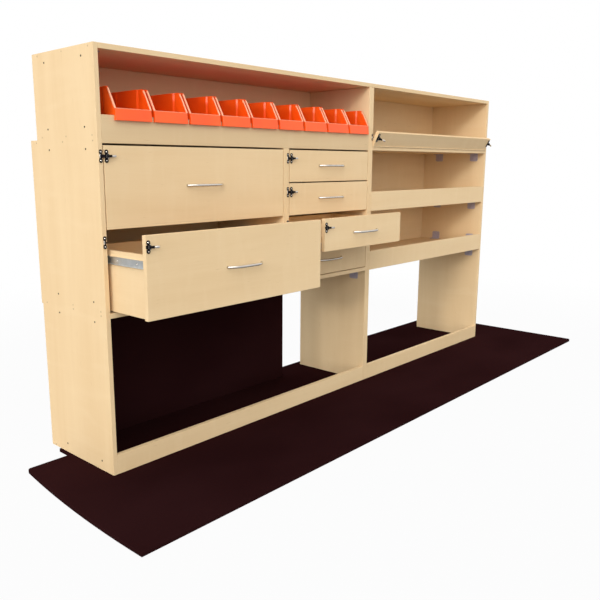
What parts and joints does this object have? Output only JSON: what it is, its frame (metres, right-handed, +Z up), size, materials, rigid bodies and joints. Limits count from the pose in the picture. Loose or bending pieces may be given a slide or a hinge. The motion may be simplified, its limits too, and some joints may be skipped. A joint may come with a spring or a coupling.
{
  "type": "van racking system",
  "caption": "Plywood van racking: drawers on runners, lift-out bins and lipped shelves with a tip-out flap, on a floor board.",
  "frame": {"origin": "middle of the bounding box at the underside of the floor board", "axes": "+X to the right along the floor board's length, as seen from the front; +Y from the open front towards the van's wall; +Z up"},
  "size_m": [2.845, 0.85, 1.262],
  "materials": {
    "birch_plywood": "satin",
    "dark_film_faced_plywood": "satin",
    "orange_plastic": "semi-gloss",
    "zinc_plated_steel": "satin",
    "bright_chrome": "polished"
  },
  "bodies": {
    "carcass": {"left_side_panel": "birch_plywood", "right_side_panel": "birch_plywood", "centre_divider": "birch_plywood", "drawer_divider": "birch_plywood", "top_panel": "birch_plywood", "bin_shelf": "birch_plywood", "drawer_unit_top": "birch_plywood", "base_shelf": "birch_plywood", "bin_shelf_fascia": "birch_plywood", "kick_rail_left": "birch_plywood", "kick_rail_right": "birch_plywood", "upper_right_shelf": "birch_plywood", "middle_right_shelf": "birch_plywood", "lower_right_shelf": "birch_plywood", "middle_shelf_lip": "birch_plywood", "lower_shelf_lip": "birch_plywood", "bin_bay_back": "birch_plywood", "drawer_unit_back": "birch_plywood", "upper_right_back": "birch_plywood", "middle_right_back": "birch_plywood", "floor_board": "dark_film_faced_plywood", "wheel_arch_panel": "dark_film_faced_plywood", "flap_hinge_fixed_leaf": "zinc_plated_steel"},
    "large_drawer_1": {"large_drawer_1_front": "birch_plywood", "large_drawer_1_box": "birch_plywood", "large_drawer_1_handle": "bright_chrome"},
    "large_drawer_1_lever": {"large_drawer_1_latch_lever": "bright_chrome"},
    "large_drawer_2": {"large_drawer_2_front": "birch_plywood", "large_drawer_2_box": "birch_plywood", "large_drawer_2_handle": "bright_chrome"},
    "large_drawer_2_lever": {"large_drawer_2_latch_lever": "bright_chrome"},
    "small_drawer_1": {"small_drawer_1_front": "birch_plywood", "small_drawer_1_box": "birch_plywood", "small_drawer_1_handle": "bright_chrome"},
    "small_drawer_1_lever": {"small_drawer_1_latch_lever": "bright_chrome"},
    "small_drawer_2": {"small_drawer_2_front": "birch_plywood", "small_drawer_2_box": "birch_plywood", "small_drawer_2_handle": "bright_chrome"},
    "small_drawer_2_lever": {"small_drawer_2_latch_lever": "bright_chrome"},
    "small_drawer_3": {"small_drawer_3_front": "birch_plywood", "small_drawer_3_box": "birch_plywood", "small_drawer_3_handle": "bright_chrome"},
    "small_drawer_3_lever": {"small_drawer_3_latch_lever": "bright_chrome"},
    "small_drawer_4": {"small_drawer_4_front": "birch_plywood", "small_drawer_4_box": "birch_plywood", "small_drawer_4_handle": "bright_chrome"},
    "small_drawer_4_lever": {"small_drawer_4_latch_lever": "bright_chrome"},
    "flap": {"flap_front": "birch_plywood", "flap_hinge_moving_leaf": "zinc_plated_steel"},
    "flap_lever_left": {"flap_latch_lever_left": "bright_chrome"},
    "flap_lever_right": {"flap_latch_lever_right": "bright_chrome"},
    "bin_1": {"bin_1": "orange_plastic"},
    "bin_2": {"bin_2": "orange_plastic"},
    "bin_3": {"bin_3": "orange_plastic"},
    "bin_4": {"bin_4": "orange_plastic"},
    "bin_5": {"bin_5": "orange_plastic"},
    "bin_6": {"bin_6": "orange_plastic"},
    "bin_7": {"bin_7": "orange_plastic"},
    "bin_8": {"bin_8": "orange_plastic"},
    "bin_9": {"bin_9": "orange_plastic"}
  },
  "joints": [
    {"name": "large_drawer_1_slide", "type": "slide", "parent": "carcass", "child": "large_drawer_1", "axis": [0, -1, 0], "range_m": [0, 0.25]},
    {"name": "large_drawer_1_lever_hinge", "type": "hinge", "parent": "large_drawer_1", "child": "large_drawer_1_lever", "pos_m": [-1.19885, -0.0288, 0.9603], "axis": [0, 0, -1], "range_deg": [0, 100]},
    {"name": "large_drawer_2_slide", "type": "slide", "parent": "carcass", "child": "large_drawer_2", "axis": [0, -1, 0], "range_m": [-0.177, 0.073]},
    {"name": "large_drawer_2_lever_hinge", "type": "hinge", "parent": "large_drawer_2", "child": "large_drawer_2_lever", "pos_m": [-1.19885, -0.2058, 0.7199], "axis": [0, 0, -1], "range_deg": [-20, 80]},
    {"name": "small_drawer_1_slide", "type": "slide", "parent": "carcass", "child": "small_drawer_1", "axis": [0, -1, 0], "range_m": [0, 0.25]},
    {"name": "small_drawer_1_lever_hinge", "type": "hinge", "parent": "small_drawer_1", "child": "small_drawer_1_lever", "pos_m": [-0.41985, -0.0288, 0.9603], "axis": [0, 0, -1], "range_deg": [0, 100]},
    {"name": "small_drawer_2_slide", "type": "slide", "parent": "carcass", "child": "small_drawer_2", "axis": [0, -1, 0], "range_m": [0, 0.25]},
    {"name": "small_drawer_2_lever_hinge", "type": "hinge", "parent": "small_drawer_2", "child": "small_drawer_2_lever", "pos_m": [-0.41985, -0.0288, 0.8401], "axis": [0, 0, -1], "range_deg": [0, 100]},
    {"name": "small_drawer_3_slide", "type": "slide", "parent": "carcass", "child": "small_drawer_3", "axis": [0, -1, 0], "range_m": [-0.166, 0.084]},
    {"name": "small_drawer_3_lever_hinge", "type": "hinge", "parent": "small_drawer_3", "child": "small_drawer_3_lever", "pos_m": [-0.41985, -0.1948, 0.7199], "axis": [0, 0, -1], "range_deg": [-20, 80]},
    {"name": "small_drawer_4_slide", "type": "slide", "parent": "carcass", "child": "small_drawer_4", "axis": [0, -1, 0], "range_m": [0, 0.25]},
    {"name": "small_drawer_4_lever_hinge", "type": "hinge", "parent": "small_drawer_4", "child": "small_drawer_4_lever", "pos_m": [-0.41985, -0.0288, 0.5997], "axis": [0, 0, -1], "range_deg": [0, 100]},
    {"name": "flap_tilt", "type": "hinge", "parent": "carcass", "child": "flap", "pos_m": [0.5995, -0.0236, 1.0137], "axis": [1, 0, 0], "range_deg": [-28, 62]},
    {"name": "flap_lever_left_hinge", "type": "hinge", "parent": "flap", "child": "flap_lever_left", "pos_m": [0.10265, -0.04542, 1.04366], "axis": [0, 0.4695, -0.8829], "range_deg": [-60, 40]},
    {"name": "flap_lever_right_hinge", "type": "hinge", "parent": "flap", "child": "flap_lever_right", "pos_m": [1.09635, -0.04542, 1.04366], "axis": [0, -0.4695, 0.8829], "range_deg": [-60, 40]},
    {"name": "bin_1_lift", "type": "slide", "parent": "carcass", "child": "bin_1", "axis": [0, 0, 1], "range_m": [0, 0.08]},
    {"name": "bin_2_lift", "type": "slide", "parent": "carcass", "child": "bin_2", "axis": [0, 0, 1], "range_m": [0, 0.08]},
    {"name": "bin_3_lift", "type": "slide", "parent": "carcass", "child": "bin_3", "axis": [0, 0, 1], "range_m": [0, 0.08]},
    {"name": "bin_4_lift", "type": "slide", "parent": "carcass", "child": "bin_4", "axis": [0, 0, 1], "range_m": [0, 0.08]},
    {"name": "bin_5_lift", "type": "slide", "parent": "carcass", "child": "bin_5", "axis": [0, 0, 1], "range_m": [0, 0.08]},
    {"name": "bin_6_lift", "type": "slide", "parent": "carcass", "child": "bin_6", "axis": [0, 0, 1], "range_m": [0, 0.08]},
    {"name": "bin_7_lift", "type": "slide", "parent": "carcass", "child": "bin_7", "axis": [0, 0, 1], "range_m": [0, 0.08]},
    {"name": "bin_8_lift", "type": "slide", "parent": "carcass", "child": "bin_8", "axis": [0, 0, 1], "range_m": [0, 0.08]},
    {"name": "bin_9_lift", "type": "slide", "parent": "carcass", "child": "bin_9", "axis": [0, 0, 1], "range_m": [0, 0.08]}
  ]
}
